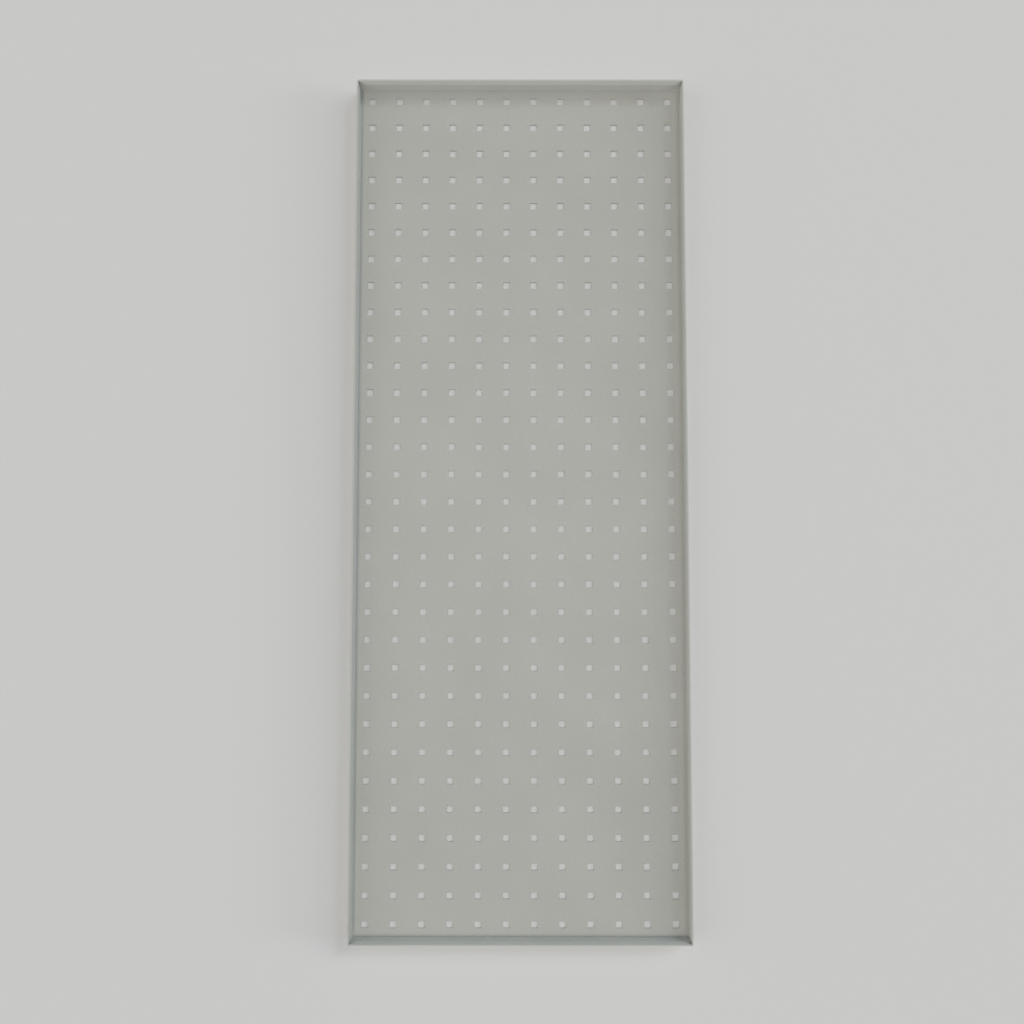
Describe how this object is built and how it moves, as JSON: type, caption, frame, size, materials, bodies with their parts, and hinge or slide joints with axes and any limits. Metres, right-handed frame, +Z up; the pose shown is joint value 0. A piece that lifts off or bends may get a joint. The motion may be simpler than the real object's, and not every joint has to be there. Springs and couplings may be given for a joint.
{
  "type": "perforated sheet steel tool panel with hemmed flanges",
  "caption": "Punched sheet-steel panel with a grid of square holes and four flanges folded up into a shallow tray with a hemmed rim.",
  "frame": {"origin": "middle of the underside of the perforated face, on the surface that the panel lies on", "axes": "+X across the panel, +Y along its length, +Z up, from the face towards the rim of the flanges"},
  "size_m": [0.456, 1.178, 0.0285],
  "materials": {
    "painted_sheet": "smooth satin powder coat, light warm grey"
  },
  "bodies": {
    "root": {"perforated_panel": "painted_sheet"}
  },
  "joints": []
}
